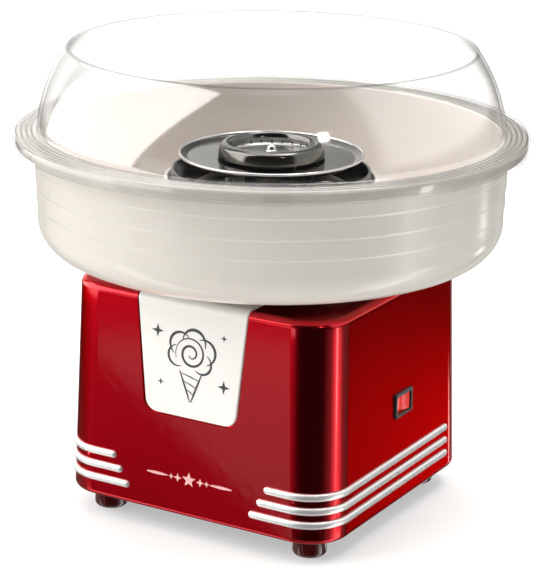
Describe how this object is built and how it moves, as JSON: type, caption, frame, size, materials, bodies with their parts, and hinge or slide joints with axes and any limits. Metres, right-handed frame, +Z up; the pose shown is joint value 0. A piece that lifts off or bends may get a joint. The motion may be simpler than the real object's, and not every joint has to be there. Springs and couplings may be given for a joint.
{
  "type": "cotton candy machine",
  "caption": "Countertop cotton candy machine: square painted base with motor and heater, round cream bowl, spinning head and clear rim guard.",
  "frame": {"origin": "on the surface the machine stands on, on the vertical spin axis", "axes": "+Z up along the spin axis, -Y towards the front panel, +X towards the power switch"},
  "size_m": [0.3004, 0.3, 0.2747],
  "materials": {
    "red_paint": "gloss metallic lacquer",
    "cream_plastic": "gloss",
    "bright_trim": "satin bright",
    "red_plastic": "gloss",
    "black_plastic": "fine moulded texture",
    "clear_plastic": "clear gloss",
    "polished_aluminium": "polished, spun",
    "aluminium_sheet": "mill finish",
    "dark_enamel": "satin black enamel",
    "zinc_steel": "zinc plated",
    "polished_steel": "polished",
    "brass_parts": "bright",
    "bronze_bush": "sintered, oiled",
    "element_sheath": "heat stained",
    "ceramic": "steatite, glazed",
    "ferrite": "sintered",
    "black_rubber": "matte",
    "green_board": "solder resist",
    "copper_winding": "enamelled copper",
    "white_nylon": "moulded",
    "lead_black": "insulation",
    "lead_red": "insulation",
    "lead_white": "glass-sleeved insulation",
    "red_lens": "translucent red, lit from behind"
  },
  "bodies": {
    "base": {"base_shell": "red_paint", "front_panel": "cream_plastic", "bottom_cover": "black_plastic", "foot_screws": "zinc_steel", "cover_screws": "zinc_steel", "switch_bezel": "black_plastic", "switch_body": "black_plastic", "switch_terminals": "brass_parts", "cord_gland": "black_plastic", "bowl_seat": "black_plastic", "seat_screws": "zinc_steel", "heater_housing": "dark_enamel", "housing_screws": "zinc_steel", "heating_element": "element_sheath", "element_insulators": "ceramic", "terminal_beads": "ceramic", "heat_shield": "aluminium_sheet", "shield_standoffs": "zinc_steel", "thermal_cutout": "black_plastic", "thermal_fuse": "brass_parts", "shaft_bush": "bronze_bush", "motor_can": "zinc_steel", "motor_end_cap": "black_plastic", "motor_magnets": "ferrite", "motor_brushes": "ferrite", "motor_bracket": "zinc_steel", "motor_grommets": "black_rubber", "bracket_screws": "zinc_steel", "motor_screws": "zinc_steel", "circuit_board": "green_board", "board_components": "black_plastic", "board_screws": "zinc_steel", "switch_leads": "lead_black", "motor_leads": "lead_red", "heater_leads": "lead_white", "trim_bar_left_top": "bright_trim", "trim_bar_left_middle": "bright_trim", "trim_bar_left_bottom": "bright_trim", "trim_bar_right_top": "bright_trim", "trim_bar_right_middle": "bright_trim", "trim_bar_right_bottom": "bright_trim", "foot_front_right": "red_plastic", "foot_front_left": "red_plastic", "foot_rear_right": "red_plastic", "foot_rear_left": "red_plastic"},
    "drive": {"motor_shaft": "polished_steel", "motor_armature": "copper_winding", "commutator": "copper_winding", "cooling_fan": "white_nylon", "shaft_collar": "zinc_steel", "drive_pin": "polished_steel"},
    "head": {"head_disc": "polished_aluminium", "head_cup": "polished_aluminium", "head_ring": "polished_aluminium", "head_hub": "zinc_steel", "head_cap_nut": "polished_steel", "head_spacers": "zinc_steel"},
    "bowl": {"bowl": "cream_plastic"},
    "guard": {"rim_guard": "clear_plastic"},
    "rocker": {"switch_rocker": "red_lens"}
  },
  "joints": [
    {"name": "spin", "type": "hinge", "parent": "base", "child": "drive", "pos_m": [0, 0, 0.12], "axis": [0, 0, 1], "continuous": true},
    {"name": "head_lift", "type": "slide", "parent": "drive", "child": "head", "axis": [0, 0, 1], "range_m": [0, 0.05]},
    {"name": "bowl_lift", "type": "slide", "parent": "base", "child": "bowl", "axis": [0, 0, 1], "range_m": [0, 0.09]},
    {"name": "guard_lift", "type": "slide", "parent": "bowl", "child": "guard", "axis": [0, 0, 1], "range_m": [0, 0.06]},
    {"name": "power_switch", "type": "hinge", "parent": "base", "child": "rocker", "pos_m": [0.0846, 0.0034, 0.0737], "axis": [0, 0, 1], "range_deg": [0, 18]}
  ]
}
